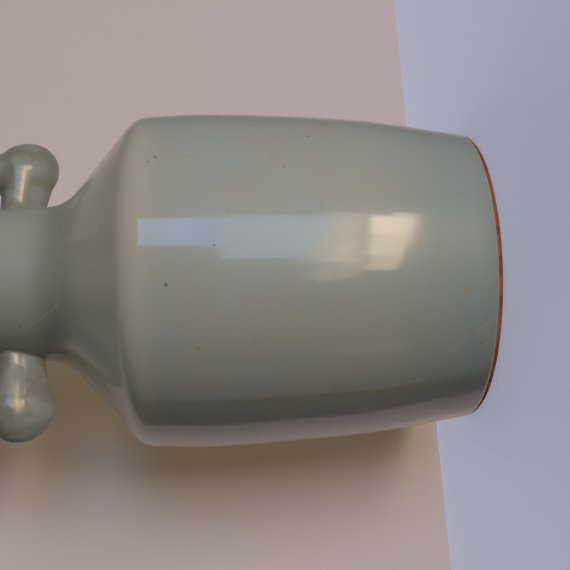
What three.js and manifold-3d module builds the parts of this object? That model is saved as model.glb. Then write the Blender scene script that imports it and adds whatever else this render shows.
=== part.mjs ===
// A Chinese mallet vase in celadon-glazed stoneware, with two phoenix handles.
// Millimetres, +Z up. The foot stands on Z = 0, centred on the Z axis, and the handles lie along X.
// The vase is thrown in sections that sit on each other with lapped joints, bonded with clay slip.
import * as THREE from "three";
import { mergeVertices } from "three/addons/utils/BufferGeometryUtils.js";
import Module from "manifold-3d";

const wasm = await Module();
wasm.setup();

// Body, from the foot ring up to the shoulder's edge
const FOOT_RADIUS = 58.7;
const BODY_RADIUS = 67.5;
const SHOULDER_DRAW_IN = 0.7;
const BODY_HEIGHT = 132;
const EDGE_ROUND = 5.5;

// Conical shoulder, neck and dish-shaped mouth; each corner is rounded over its own reach
const SHOULDER_RISE = 30.7;
const NECK_RADIUS = 31.3;
const NECK_ROOT_ROUND = 9.5;
const NECK_LENGTH = 86.3;
const MOUTH_ROOT_ROUND = 6.5;
const FLANGE_RISE = 7;
const MOUTH_RADIUS = 51;
const MOUTH_CORNER_ROUND = 5.5;
const LIP_HEIGHT = 14;
const LIP_ROUND = 1.8;
const WALL = 5;
const LIP_WALL = 3.8;

// Foot ring and the floor that lies inside it
const FOOT_RING_HEIGHT = 9;
const FOOT_RING_WIDTH = 6.6;
const FOOT_CHAMFER = 1;
const FOOT_SLANT = 0.8;
const FLOOR_RECESS = 6;
const FLOOR_THICKNESS = 8;
const FLOOR_COVE = 5;
const FLOOR_COVE_EDGE = 1;

// Joints between the thrown sections: a tongue on the lower one laps inside the upper one
const SLIP_GAP = 0.3;
const LAP_HEIGHT = 2.5;
const SHOULDER_JOINT_DROP = 5;
const NECK_JOINT_RISE = 6.4;
const MOUTH_JOINT_DROP = 8;

// Handles: the reach is measured out from the neck, the drop down from the neck's lower joint
const HANDLE_REACH = 33.4;
const HANDLE_HEIGHT = 76;
const HANDLE_WIDTH = 19.6;
const HANDLE_DROP = 3.7;

// Colours and finish
const GLAZE_COLOUR = 0x9aa092;
const GLAZE_ROUGHNESS = 0.16;
const BISCUIT_COLOUR = 0x8a5234;
const BISCUIT_ROUGHNESS = 0.85;

// Facets: sides of a full turn, and steps along each stretch of an outline
const TURN_SIDES = 48;
const BODY_STEPS = 11;
const ROUND_STEPS = 3;
const LIP_STEPS = 4;
const LIMB_SIDES = 12;
const BALL_SIDES = 14;
const BALL_RINGS = 8;
const WELD_DISTANCE = 0.001;

// How the body swells: share of the height over the foot ring, share of the way from foot to widest
const BODY_SWELL_SHARES = [
  [0, 0],
  [0.034, 0.04],
  [0.094, 0.22],
  [0.179, 0.43],
  [0.306, 0.65],
  [0.477, 0.81],
  [0.647, 0.93],
  [0.825, 1],
];

// Each handle is a phoenix: limbs and balls that run into each other. A station holds shares of the
// reach, of the height, of the reach again for half its depth, of the width for half its breadth,
// and of the width for its distance from the middle plane.
const TAIL_ROOT_SHARES = [
  [-0.12, 0.195, 0.305, 0.46, 0],
  [0.09, 0.187, 0.283, 0.42, 0],
  [0.33, 0.179, 0.317, 0.46, 0],
  [0.57, 0.179, 0.377, 0.5, 0],
];
const TAIL_END_SHARES = [0.587, 0.181, 0.413, 0.5, 0];
const BACK_SHARES = [
  [0.6, 0.218, 0.371, 0.49, 0],
  [0.575, 0.324, 0.287, 0.44, 0],
  [0.527, 0.43, 0.24, 0.4, 0],
  [0.485, 0.535, 0.25, 0.41, 0],
  [0.464, 0.64, 0.275, 0.44, 0],
];
const BREAST_SHARES = [0.464, 0.633, 0.3, 0.46, 0];
const BRIDGE_SHARES = [
  [-0.12, 0.648, 0.29, 0.39, 0],
  [0.15, 0.643, 0.25, 0.36, 0],
  [0.45, 0.639, 0.26, 0.41, 0],
];
const THROAT_SHARES = [
  [0.464, 0.666, 0.269, 0.41, 0],
  [0.44, 0.76, 0.235, 0.36, 0],
  [0.47, 0.84, 0.21, 0.33, 0],
  [0.53, 0.905, 0.215, 0.33, 0],
];
const HEAD_SHARES = [0.55, 0.912, 0.225, 0.34, 0];
const BEAK_SHARES = [
  [0.6, 0.922, 0.15, 0.2, 0],
  [0.75, 0.916, 0.1, 0.14, 0],
  [0.86, 0.89, 0.055, 0.085, 0],
  [0.9, 0.85, 0.025, 0.05, 0],
];
const CREST_SHARES = [
  [0.56, 0.96, 0.17, 0.16, 0],
  [0.48, 1.02, 0.16, 0.15, 0],
  [0.34, 1.05, 0.11, 0.13, 0],
  [0.2, 1.03, 0.05, 0.07, 0],
];
const WING_SHARES = [
  [0.36, 0.732, 0.09, 0.08, 0.34],
  [0.45, 0.653, 0.225, 0.13, 0.38],
  [0.54, 0.547, 0.21, 0.12, 0.36],
  [0.645, 0.442, 0.132, 0.1, 0.33],
  [0.735, 0.363, 0.048, 0.05, 0.31],
];

// Heights that follow from the sizes above
const NECK_ROOT_Z = BODY_HEIGHT + SHOULDER_RISE;
const MOUTH_ROOT_Z = NECK_ROOT_Z + NECK_LENGTH;
const MOUTH_CORNER_Z = MOUTH_ROOT_Z + FLANGE_RISE;
const VASE_HEIGHT = MOUTH_CORNER_Z + LIP_HEIGHT;
const SHOULDER_RADIUS = BODY_RADIUS - SHOULDER_DRAW_IN;
const SHOULDER_JOINT_Z = BODY_HEIGHT - SHOULDER_JOINT_DROP;
const NECK_JOINT_Z = NECK_ROOT_Z + NECK_JOINT_RISE;
const MOUTH_JOINT_Z = MOUTH_ROOT_Z - MOUTH_JOINT_DROP;
const FLOOR_RADIUS = FOOT_RADIUS - WALL - SLIP_GAP;
const HANDLE_BASE_Z = NECK_JOINT_Z - HANDLE_DROP;

const point = (radius, z) => new THREE.Vector2(radius, z);

// The corner between two straight stretches, rounded over the same reach on both
function rounded(before, corner, after, reach) {
  const start = before.clone().sub(corner).setLength(reach).add(corner);
  const end = after.clone().sub(corner).setLength(reach).add(corner);
  return new THREE.QuadraticBezierCurve(start, corner, end).getPoints(ROUND_STEPS);
}

// The vase's outer surface from the top of the foot ring to the lip
function outerOutline() {
  const edge = point(SHOULDER_RADIUS, BODY_HEIGHT);
  const neckRoot = point(NECK_RADIUS, NECK_ROOT_Z);
  const mouthRoot = point(NECK_RADIUS, MOUTH_ROOT_Z);
  const mouthCorner = point(MOUTH_RADIUS, MOUTH_CORNER_Z);
  const lip = point(MOUTH_RADIUS, VASE_HEIGHT - LIP_ROUND);
  const side = BODY_HEIGHT - EDGE_ROUND - FOOT_RING_HEIGHT;
  const swell = BODY_SWELL_SHARES.map(([up, out]) =>
    point(THREE.MathUtils.lerp(FOOT_RADIUS, BODY_RADIUS, out), FOOT_RING_HEIGHT + side * up),
  );
  const sideTop = point(SHOULDER_RADIUS, BODY_HEIGHT - EDGE_ROUND);
  const body = new THREE.SplineCurve([...swell, sideTop]).getPoints(BODY_STEPS);
  return [
    ...body.slice(0, -1),
    ...rounded(sideTop, edge, neckRoot, EDGE_ROUND),
    ...rounded(edge, neckRoot, mouthRoot, NECK_ROOT_ROUND),
    ...rounded(neckRoot, mouthRoot, mouthCorner, MOUTH_ROOT_ROUND),
    ...rounded(mouthRoot, mouthCorner, lip, MOUTH_CORNER_ROUND),
    lip,
  ];
}

// The wall is even up to the mouth and thins towards the lip
function wallAt(z) {
  const share = THREE.MathUtils.clamp((z - MOUTH_ROOT_Z) / (VASE_HEIGHT - MOUTH_ROOT_Z), 0, 1);
  return THREE.MathUtils.lerp(WALL, LIP_WALL, share);
}

// An outline moved sideways, towards the axis for a positive distance
function inset(outline, distanceAt) {
  return outline.map((here, i) => {
    const next = outline[Math.min(i + 1, outline.length - 1)];
    const last = outline[Math.max(i - 1, 0)];
    const along = next.clone().sub(last).normalize();
    return here.clone().addScaledVector(point(-along.y, along.x), distanceAt(here.y));
  });
}

// The point of an outline at one height
function atHeight(outline, z) {
  const upper = outline.findIndex((p) => p.y >= z);
  const [low, high] = [outline[upper - 1] ?? outline[upper], outline[upper]];
  const share = high.y > low.y ? (z - low.y) / (high.y - low.y) : 0;
  return point(THREE.MathUtils.lerp(low.x, high.x, share), z);
}

// The stretch of an outline between two heights, with its ends on them
function between(outline, low, high) {
  const inside = outline.filter((p) => p.y > low + WELD_DISTANCE && p.y < high - WELD_DISTANCE);
  return [atHeight(outline, low), ...inside, atHeight(outline, high)];
}

const OUTER = outerOutline();
const INNER = inset(OUTER, wallAt);

const midWall = (z) => (atHeight(OUTER, z).x + atHeight(INNER, z).x) / 2;

// A profile turned round the Z axis
function turned(profile) {
  return new THREE.LatheGeometry(profile, TURN_SIDES).rotateX(Math.PI / 2);
}

// A thrown section between two joints. Its foot is rebated over the tongue below, unless it is flat,
// and its top has a tongue of its own, unless it ends in the lip.
function thrownSection(low, high, flatFoot) {
  const laps = high < VASE_HEIGHT;
  const outerTop = laps ? high : VASE_HEIGHT - LIP_ROUND;
  const innerTop = laps ? high + LAP_HEIGHT : VASE_HEIGHT - LIP_ROUND;
  const innerLow = flatFoot ? low : low + LAP_HEIGHT + SLIP_GAP;
  const profile = between(OUTER, low, outerTop);
  if (laps) {
    const tongue = midWall(high) - SLIP_GAP;
    profile.push(point(tongue, high), point(tongue, innerTop));
  } else {
    const middle = MOUTH_RADIUS - LIP_WALL / 2;
    const top = new THREE.EllipseCurve(middle, outerTop, LIP_WALL / 2, LIP_ROUND, 0, Math.PI);
    profile.push(...top.getPoints(LIP_STEPS).slice(1, -1));
  }
  profile.push(...between(INNER, innerLow, innerTop).reverse());
  if (!flatFoot) {
    const rebate = midWall(low);
    profile.push(point(rebate, innerLow), point(rebate, low));
  }
  return turned([...profile, profile[0]]);
}

// The turned foot ring, chamfered outside, with a ledge that carries the floor
function footRing() {
  const inside = FOOT_RADIUS - FOOT_RING_WIDTH;
  const ledge = FLOOR_RADIUS + SLIP_GAP;
  const profile = [
    point(inside, 0),
    point(FOOT_RADIUS - FOOT_CHAMFER, 0),
    point(FOOT_RADIUS, FOOT_CHAMFER),
    point(FOOT_RADIUS, FOOT_RING_HEIGHT),
    point(ledge, FOOT_RING_HEIGHT),
    point(ledge, FLOOR_RECESS),
    point(inside - FOOT_SLANT, FLOOR_RECESS),
  ];
  return turned([...profile, profile[0]]);
}

// The floor, with a cove up to the wall inside
function floorDisc() {
  const top = FLOOR_RECESS + FLOOR_THICKNESS;
  const edge = FLOOR_RADIUS - FLOOR_COVE_EDGE;
  const cove = new THREE.QuadraticBezierCurve(
    point(edge, top + FLOOR_COVE),
    point(edge, top),
    point(edge - FLOOR_COVE, top),
  );
  return turned([
    point(0, FLOOR_RECESS),
    point(FLOOR_RADIUS, FLOOR_RECESS),
    point(FLOOR_RADIUS, top + FLOOR_COVE),
    ...cove.getPoints(ROUND_STEPS),
    point(0, top),
  ]);
}

// A closed geometry as a solid, and back
function toSolid(geometry) {
  const bare = geometry.clone();
  bare.deleteAttribute("normal");
  bare.deleteAttribute("uv");
  const merged = mergeVertices(bare, WELD_DISTANCE);
  return new wasm.Manifold(
    new wasm.Mesh({
      numProp: 3,
      vertProperties: merged.getAttribute("position").array,
      triVerts: new Uint32Array(merged.index.array),
    }),
  );
}

function fromSolid(solid) {
  const mesh = solid.getMesh();
  const geometry = new THREE.BufferGeometry();
  geometry.setAttribute("position", new THREE.BufferAttribute(mesh.vertProperties, 3));
  geometry.setIndex(new THREE.BufferAttribute(mesh.triVerts, 1));
  geometry.computeVertexNormals();
  return geometry;
}

// A station of the handle in real sizes
function station([out, up, depth, breadth, aside], side = 1) {
  return {
    centre: new THREE.Vector3(
      NECK_RADIUS + HANDLE_REACH * out,
      HANDLE_WIDTH * aside * side,
      HANDLE_BASE_Z + HANDLE_HEIGHT * up,
    ),
    depth: HANDLE_REACH * depth,
    breadth: HANDLE_WIDTH * breadth,
  };
}

// A limb: oval rings square to the line through its stations, skinned and closed at both ends
function limb(shares, side = 1) {
  const stations = shares.map((row) => station(row, side));
  const positions = [];
  stations.forEach(({ centre, depth, breadth }, i) => {
    const next = stations[Math.min(i + 1, stations.length - 1)].centre;
    const last = stations[Math.max(i - 1, 0)].centre;
    const along = next.clone().sub(last).normalize();
    const across = new THREE.Vector3(0, 1, 0);
    const outward = across.clone().cross(along).normalize();
    for (let k = 0; k < LIMB_SIDES; k += 1) {
      const turn = (2 * Math.PI * k) / LIMB_SIDES;
      const rim = centre
        .clone()
        .addScaledVector(outward, depth * Math.cos(turn))
        .addScaledVector(across, breadth * Math.sin(turn));
      positions.push(...rim);
    }
  });
  const caps = [stations[0].centre, stations.at(-1).centre];
  caps.forEach((cap) => positions.push(...cap));
  const firstCap = stations.length * LIMB_SIDES;
  const lastRing = firstCap - LIMB_SIDES;
  const index = [];
  for (let k = 0; k < LIMB_SIDES; k += 1) {
    const n = (k + 1) % LIMB_SIDES;
    index.push(firstCap, n, k, firstCap + 1, lastRing + k, lastRing + n);
    for (let ring = 0; ring < lastRing; ring += LIMB_SIDES) {
      const above = ring + LIMB_SIDES;
      index.push(ring + k, ring + n, above + n, ring + k, above + n, above + k);
    }
  }
  const geometry = new THREE.BufferGeometry();
  geometry.setAttribute("position", new THREE.Float32BufferAttribute(positions, 3));
  geometry.setIndex(index);
  return toSolid(geometry);
}

// A ball stretched to a station's depth and breadth
function ball(shares) {
  const { centre, depth, breadth } = station(shares);
  const geometry = new THREE.SphereGeometry(1, BALL_SIDES, BALL_RINGS)
    .rotateX(Math.PI / 2)
    .scale(depth, breadth, depth)
    .translate(...centre);
  return toSolid(geometry);
}

// The neck and shoulder grown by the slip gap, to cut the handle's roots to the neck's own curve
function neckEnvelope() {
  const grown = inset(between(OUTER, SHOULDER_JOINT_Z, MOUTH_ROOT_Z), () => -SLIP_GAP);
  const profile = [point(0, grown[0].y), ...grown, point(0, grown.at(-1).y)];
  return toSolid(turned(profile));
}

function phoenixHandle() {
  const limbs = [TAIL_ROOT_SHARES, BACK_SHARES, BRIDGE_SHARES, THROAT_SHARES, BEAK_SHARES, CREST_SHARES];
  const balls = [TAIL_END_SHARES, BREAST_SHARES, HEAD_SHARES];
  const wings = [-1, 1].map((side) => limb(WING_SHARES, side));
  const pieces = [...limbs.map((shares) => limb(shares)), ...balls.map(ball), ...wings];
  const bird = pieces.reduce((whole, piece) => whole.add(piece));
  return fromSolid(bird.subtract(neckEnvelope()));
}

const glaze = () =>
  new THREE.MeshStandardMaterial({ color: GLAZE_COLOUR, roughness: GLAZE_ROUGHNESS, metalness: 0 });
const biscuit = () =>
  new THREE.MeshStandardMaterial({ color: BISCUIT_COLOUR, roughness: BISCUIT_ROUGHNESS, metalness: 0 });

const vase = new THREE.Group();

function place(name, geometry, material) {
  const mesh = new THREE.Mesh(geometry, material);
  mesh.name = name;
  vase.add(mesh);
  return mesh;
}

place("foot_ring", footRing(), biscuit());
place("floor_disc", floorDisc(), glaze());
place("body_wall", thrownSection(FOOT_RING_HEIGHT, SHOULDER_JOINT_Z, true), glaze());
place("shoulder", thrownSection(SHOULDER_JOINT_Z, NECK_JOINT_Z, false), glaze());
place("neck", thrownSection(NECK_JOINT_Z, MOUTH_JOINT_Z, false), glaze());
place("mouth_dish", thrownSection(MOUTH_JOINT_Z, VASE_HEIGHT, false), glaze());
const handle = phoenixHandle();
place("handle_right", handle, glaze());
place("handle_left", handle.clone(), glaze()).rotation.z = Math.PI;

export default vase;
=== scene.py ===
import math

import bmesh
import bpy
from bpy.props import FloatProperty, FloatVectorProperty, PointerProperty
from mathutils import Color, Matrix, Vector, noise
from mathutils.geometry import interpolate_bezier


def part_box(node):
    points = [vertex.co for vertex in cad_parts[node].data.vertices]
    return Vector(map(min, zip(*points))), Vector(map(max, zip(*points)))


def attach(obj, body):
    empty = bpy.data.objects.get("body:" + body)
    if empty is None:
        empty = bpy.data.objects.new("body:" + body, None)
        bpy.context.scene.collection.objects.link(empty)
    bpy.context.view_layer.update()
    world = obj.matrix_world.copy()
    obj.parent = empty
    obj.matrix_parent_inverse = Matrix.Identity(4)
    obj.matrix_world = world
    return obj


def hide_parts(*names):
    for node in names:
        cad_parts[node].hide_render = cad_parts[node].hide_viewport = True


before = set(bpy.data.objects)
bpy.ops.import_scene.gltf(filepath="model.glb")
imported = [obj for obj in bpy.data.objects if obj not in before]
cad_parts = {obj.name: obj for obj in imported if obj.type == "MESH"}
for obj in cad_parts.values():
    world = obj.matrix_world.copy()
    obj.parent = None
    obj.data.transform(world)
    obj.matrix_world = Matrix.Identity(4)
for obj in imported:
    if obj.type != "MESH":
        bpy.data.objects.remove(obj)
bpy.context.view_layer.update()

bl_info = {
    "name": "Mallet Vase",
    "version": (1, 0, 0),
    "blender": (4, 5, 0),
    "location": "View3D > Sidebar > Vase",
    "description": "A mallet vase in celadon glaze with phoenix handles, and the studio around it",
    "category": "Add Mesh",
}

# Boxes of the thrown sections, which the visible pieces keep to
FOOT_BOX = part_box("foot_ring")
FLOOR_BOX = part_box("floor_disc")
BODY_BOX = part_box("body_wall")
SHOULDER_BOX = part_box("shoulder")
NECK_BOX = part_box("neck")
MOUTH_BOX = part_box("mouth_dish")

VASE_HEIGHT = MOUTH_BOX[1].z
FOOT_RING_HEIGHT = FOOT_BOX[1].z
SHOULDER_JOINT_Z = SHOULDER_BOX[0].z
NECK_JOINT_Z = NECK_BOX[0].z
MOUTH_JOINT_Z = MOUTH_BOX[0].z

# Steps of the meshes
WELD = 0.000001
SEAM_STEP = 0.00003
SHARP_EDGE_ANGLE = math.radians(40)
CORNER_STEPS = 14
SPLINE_STEPS = 12
LIP_STEPS = 14
LONG_STEP = 0.0011
INSIDE_STEP = 0.003
TURN_STEPS = 216
FOOT_TURN_STEPS = 360

# How far a Bezier curve's handles lie towards the corner that it rounds
CORNER_HANDLE_SHARE = 2 / 3

# How the body swells: share of the height over the foot ring, share of the way from foot to widest
BODY_SWELL_SHARES = [
    (0, 0),
    (0.034, 0.077),
    (0.094, 0.213),
    (0.179, 0.41),
    (0.306, 0.63),
    (0.477, 0.797),
    (0.647, 0.928),
    (0.825, 1),
]


def length(name, description, default):
    """A size that the user can set, in the scene's unit of length"""
    return FloatProperty(
        name=name, description=description, default=default, unit="LENGTH", subtype="DISTANCE", precision=4
    )


def colour(name, description, default):
    """A surface colour that the user can set"""
    return FloatVectorProperty(
        name=name, description=description, default=default, size=3, min=0, max=1, subtype="COLOR"
    )


class VaseSizes(bpy.types.PropertyGroup):
    """Sizes of the thrown body, shoulder, neck, mouth and foot"""

    foot_radius: length("Foot radius", "Outer radius of the foot ring at half its height", FOOT_BOX[1].x)
    foot_taper: length("Foot taper", "How much narrower the foot ring is at its base than at its top", 0.0014)
    body_radius: length("Body radius", "Radius of the body where it is widest", 0.0675)
    shoulder_draw_in: length("Shoulder draw-in", "How far the shoulder's edge lies inside the body", 0.0007)
    body_height: length("Body height", "Height of the shoulder's edge", 0.132)
    edge_round: length("Edge round", "Reach of the rounding at the shoulder's edge", 0.0055)
    shoulder_rise: length("Shoulder rise", "Height of the conical shoulder", 0.0307)
    neck_radius: length("Neck radius", "Outer radius of the neck", 0.0313)
    neck_root_round: length("Neck root round", "Reach of the rounding under the neck", 0.0095)
    neck_length: length("Neck length", "Length of the neck between shoulder and mouth", 0.0863)
    mouth_root_round: length("Mouth root round", "Reach of the rounding under the mouth", 0.0065)
    flange_rise: length("Flange rise", "How much the mouth rises as it spreads", 0.007)
    mouth_radius: length("Mouth radius", "Outer radius of the dish-shaped mouth", MOUTH_BOX[1].x)
    mouth_corner_round: length("Mouth corner round", "Reach of the rounding at the mouth's corner", 0.0055)
    lip_round: length("Lip round", "Height of the rounded edge of the lip", 0.0018)
    wall: length("Wall", "Thickness of the wall", 0.005)
    lip_wall: length("Lip wall", "Thickness of the wall at the lip", 0.0038)
    foot_ring_width: length("Foot ring width", "Width of the ring that the vase stands on", 0.0066)
    foot_chamfer: length("Foot chamfer", "Bevel of the foot ring's outer edge", 0.001)
    bare_height: length("Bare height", "Height of the unglazed edge of the foot", 0.0019)
    bare_waver: length("Bare waver", "How far the glaze line wavers", 0.0006)
    glaze_thickness: length("Glaze thickness", "Step from the glaze down to the bare clay", 0.00025)
    floor_cove: length("Floor cove", "Reach of the rounding between the floor and the wall", 0.005)
    sway: length("Sway", "How far the thrown surface strays inwards", 0.00035)
    throwing_ridge: length("Throwing ridge", "Depth of the throwing ridges", 0.000025)


class StudioSettings(bpy.types.PropertyGroup):
    """The camera and the backdrop around the vase"""

    lens: FloatProperty(
        name="Lens", description="Focal length of the camera", default=55.58, subtype="DISTANCE_CAMERA"
    )
    backdrop_gap: length("Backdrop gap", "Distance of the backdrop behind the body", 0.007)


def facing(azimuth, elevation):
    """The direction that an azimuth from the front and an elevation give"""
    level = Vector((math.sin(azimuth), -math.cos(azimuth), 0))
    return level * math.cos(elevation) + Vector((0, 0, math.sin(elevation)))


def outline_point(radius, height):
    """A point of a turned outline, in the plane of the X and Z axes"""
    return Vector((radius, 0, height))


def stretch(start, end, step):
    """Evenly spaced points from a start to an end"""
    count = max(1, round((end - start).length / step))
    return [start.lerp(end, i / count) for i in range(count + 1)]


def corner(before, point, after, reach):
    """The corner between two straight stretches, rounded over the same reach on both"""
    start = point + (before - point).normalized() * reach
    end = point + (after - point).normalized() * reach
    handles = [knot.lerp(point, CORNER_HANDLE_SHARE) for knot in (start, end)]
    return interpolate_bezier(start, *handles, end, CORNER_STEPS)


def spline(points, steps):
    """A smooth curve through points of any size, with a number of steps between each two"""
    curve = []
    last = len(points) - 1
    for i in range(last):
        before, start, end, after = (points[min(max(k, 0), last)] for k in range(i - 1, i + 3))
        for k in range(steps):
            t = k / steps
            blend = start.copy()
            blend += (end - before) * (t / 2)
            blend += (before * 2 - start * 5 + end * 4 - after) * (t * t / 2)
            blend += (start * 3 - before - end * 3 + after) * (t * t * t / 2)
            curve.append(blend)
    return curve + [points[last].copy()]


def body_side(sizes):
    """The body's side, from the top of the foot ring to the rounding of the shoulder's edge"""
    side = sizes.body_height - sizes.edge_round - FOOT_RING_HEIGHT
    foot_top = sizes.foot_radius + sizes.foot_taper / 2
    swell = sizes.body_radius - foot_top
    points = [
        outline_point(foot_top + swell * out, FOOT_RING_HEIGHT + side * up)
        for up, out in BODY_SWELL_SHARES
    ]
    top = outline_point(sizes.body_radius - sizes.shoulder_draw_in, sizes.body_height - sizes.edge_round)
    return spline([*points, top], SPLINE_STEPS)


def outer_outline(sizes):
    """The vase's outer surface from the top of the foot ring to the rounding of the lip"""
    neck_root_z = sizes.body_height + sizes.shoulder_rise
    mouth_root_z = neck_root_z + sizes.neck_length
    edge = outline_point(sizes.body_radius - sizes.shoulder_draw_in, sizes.body_height)
    neck_root = outline_point(sizes.neck_radius, neck_root_z)
    mouth_root = outline_point(sizes.neck_radius, mouth_root_z)
    mouth_corner = outline_point(sizes.mouth_radius, mouth_root_z + sizes.flange_rise)
    lip = outline_point(sizes.mouth_radius, VASE_HEIGHT - sizes.lip_round)
    side = body_side(sizes)
    corners = [
        corner(side[-1], edge, neck_root, sizes.edge_round),
        corner(edge, neck_root, mouth_root, sizes.neck_root_round),
        corner(neck_root, mouth_root, mouth_corner, sizes.mouth_root_round),
        corner(mouth_root, mouth_corner, lip, sizes.mouth_corner_round),
    ]
    outline = side[:-1]
    for here, following in zip(corners, [*corners[1:], [lip]]):
        outline += here[:-1]
        outline += stretch(here[-1], following[0], LONG_STEP)[:-1]
    return outline + [lip]


def inner_outline(sizes, outer):
    """The vase's inner surface: the wall is even up to the mouth and thins towards the lip"""
    mouth_root_z = sizes.body_height + sizes.shoulder_rise + sizes.neck_length
    inner = []
    for i, here in enumerate(outer):
        along = (outer[min(i + 1, len(outer) - 1)] - outer[max(i - 1, 0)]).normalized()
        thinning = min(max((here.z - mouth_root_z) / (VASE_HEIGHT - mouth_root_z), 0), 1)
        wall = sizes.wall + (sizes.lip_wall - sizes.wall) * thinning
        inner.append(here + Vector((-along.z, 0, along.x)) * wall)
    return inner


def at_height(outline, z):
    """The point of an outline at one height"""
    upper = next((i for i, point in enumerate(outline) if point.z >= z), len(outline) - 1)
    low, high = outline[max(upper - 1, 0)], outline[upper]
    way = (z - low.z) / (high.z - low.z) if high.z > low.z else 0
    return outline_point(low.x + (high.x - low.x) * way, z)


def between(outline, low, high):
    """The stretch of an outline between two heights, with a short first and last step for even seams"""
    ends = [low, low + SEAM_STEP, high - SEAM_STEP, high]
    inside = [point for point in outline if ends[1] + WELD < point.z < ends[2] - WELD]
    first, second, third, fourth = (at_height(outline, z) for z in ends)
    return [first, second, *inside, third, fourth]


def thinned(outline, step):
    """An outline with its points no closer than a step"""
    kept = [outline[0]]
    for point in outline[1:-1]:
        if (point - kept[-1]).length >= step:
            kept.append(point)
    return kept + [outline[-1]]


def spun(mesh, geometry, angle, steps, is_full_turn=False):
    """Turns geometry round the Z axis, which draws a skin behind it"""
    bmesh.ops.spin(
        mesh,
        geom=geometry,
        cent=(0, 0, 0),
        axis=(0, 0, 1),
        dvec=(0, 0, 0),
        angle=angle,
        steps=steps,
        use_merge=is_full_turn,
        use_duplicate=False,
    )


def turned(outline, steps):
    """A closed outline, or one that starts and ends on the axis, turned once round the Z axis"""
    mesh = bmesh.new()
    verts = [mesh.verts.new(point) for point in outline]
    edges = [mesh.edges.new(pair) for pair in zip(verts, verts[1:])]
    if outline[0].x > WELD:
        edges.append(mesh.edges.new((verts[-1], verts[0])))
    spun(mesh, verts + edges, math.tau, steps, is_full_turn=True)
    bmesh.ops.remove_doubles(mesh, verts=mesh.verts, dist=WELD)
    bmesh.ops.recalc_face_normals(mesh, faces=mesh.faces)
    return mesh


# Places on the noise field, so that sway, ridges and the glaze line differ from each other
SWAY_SCALE = 22
RIDGE_SCALE = 260
GLAZE_LINE_SCALE = 3.2
GLAZE_LINE_FINE_SCALE = 14
GLAZE_LINE_FINE_SHARE = 0.35


def throw_by_hand(mesh, sizes):
    """Lets the surface stray inwards from the true round, as a thrown pot's does"""
    for vert in mesh.verts:
        radius = vert.co.xy.length
        if radius > WELD:
            sway = (noise.noise(vert.co * SWAY_SCALE) - 1) / 2 * sizes.sway
            ridge = (noise.noise(Vector((0, 0, vert.co.z * RIDGE_SCALE))) - 1) / 2 * sizes.throwing_ridge
            scale = (radius + sway + ridge) / radius
            vert.co.x *= scale
            vert.co.y *= scale


def shade(mesh):
    """Smooth shading that stops at sharp edges"""
    for face in mesh.faces:
        face.smooth = True
    for edge in mesh.edges:
        if len(edge.link_faces) == 2 and edge.calc_face_angle(0) > SHARP_EDGE_ANGLE:
            edge.smooth = False


def finished_piece(mesh, name, materials, slot, *nodes):
    """Makes a mesh a piece that stands for its CAD nodes"""
    shade(mesh)
    data = bpy.data.meshes.new(name)
    mesh.to_mesh(data)
    mesh.free()
    for material in materials:
        data.materials.append(material)
    piece = bpy.data.objects.new(name, data)
    bpy.context.scene.collection.objects.link(piece)
    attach(piece, "root")
    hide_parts(*nodes)
    return piece


GLAZE_DEPTH = "glaze_depth"
EVEN_DEPTH = 0.5


def glaze_by_height(mesh, dips):
    """Stores how thick the glaze lies: thin on edges, pooled in hollows, by height over the foot"""
    depth = mesh.verts.layers.float.new(GLAZE_DEPTH)
    for vert in mesh.verts:
        value = EVEN_DEPTH
        for z, reach, change in dips:
            value += change * math.exp(-(((vert.co.z - z) / reach) ** 2))
        vert[depth] = min(max(value, 0), 1)


def wall_dips(sizes):
    """Heights where the glaze thins or pools, each with its reach and its change in depth"""
    neck_root_z = sizes.body_height + sizes.shoulder_rise
    mouth_root_z = neck_root_z + sizes.neck_length
    return [
        (0, sizes.foot_ring_width, 0.2),
        (sizes.bare_height, sizes.glaze_thickness * 2, -0.3),
        (sizes.body_height - sizes.edge_round / 3, sizes.edge_round / 2, -0.35),
        (neck_root_z, sizes.neck_root_round, 0.3),
        (mouth_root_z, sizes.mouth_root_round, 0.25),
        (mouth_root_z + sizes.flange_rise, sizes.mouth_corner_round / 2, -0.3),
        (VASE_HEIGHT, sizes.lip_round * 2, -0.45),
    ]


class VASE_OT_thrown_walls(bpy.types.Operator):
    """Makes the glazed body, shoulder, neck and mouth"""

    bl_idname = "vase.thrown_walls"
    bl_label = "Thrown Walls"

    def execute(self, context):
        sizes = context.scene.vase_sizes
        outer = outer_outline(sizes)
        inner = inner_outline(sizes, outer)
        glaze = glaze_material(context.scene)
        sections = [
            ("glazed_body", "body_wall", FOOT_RING_HEIGHT, SHOULDER_JOINT_Z),
            ("glazed_shoulder", "shoulder", SHOULDER_JOINT_Z, NECK_JOINT_Z),
            ("glazed_neck", "neck", NECK_JOINT_Z, MOUTH_JOINT_Z),
            ("glazed_mouth", "mouth_dish", MOUTH_JOINT_Z, VASE_HEIGHT - sizes.lip_round),
        ]
        for name, node, low, high in sections:
            outline = between(outer, low, high)
            if node == "mouth_dish":
                outline += self.lip(sizes, high)
            outline += reversed(thinned(between(inner, low, high), INSIDE_STEP))
            mesh = turned(outline, TURN_STEPS)
            glaze_by_height(mesh, wall_dips(sizes))
            throw_by_hand(mesh, sizes)
            finished_piece(mesh, name, [glaze], "celadon_glaze", node)
        return {"FINISHED"}

    def lip(self, sizes, base):
        """The rounded edge of the lip, from the outside to the inside"""
        half = sizes.lip_wall / 2
        turns = [math.pi * i / LIP_STEPS for i in range(1, LIP_STEPS)]
        middle = sizes.mouth_radius - half
        return [
            outline_point(middle + half * math.cos(turn), base + sizes.lip_round * math.sin(turn))
            for turn in turns
        ]


# From which upward part of its normal a face counts as facing up
UP_FACING = 0.9


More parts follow.
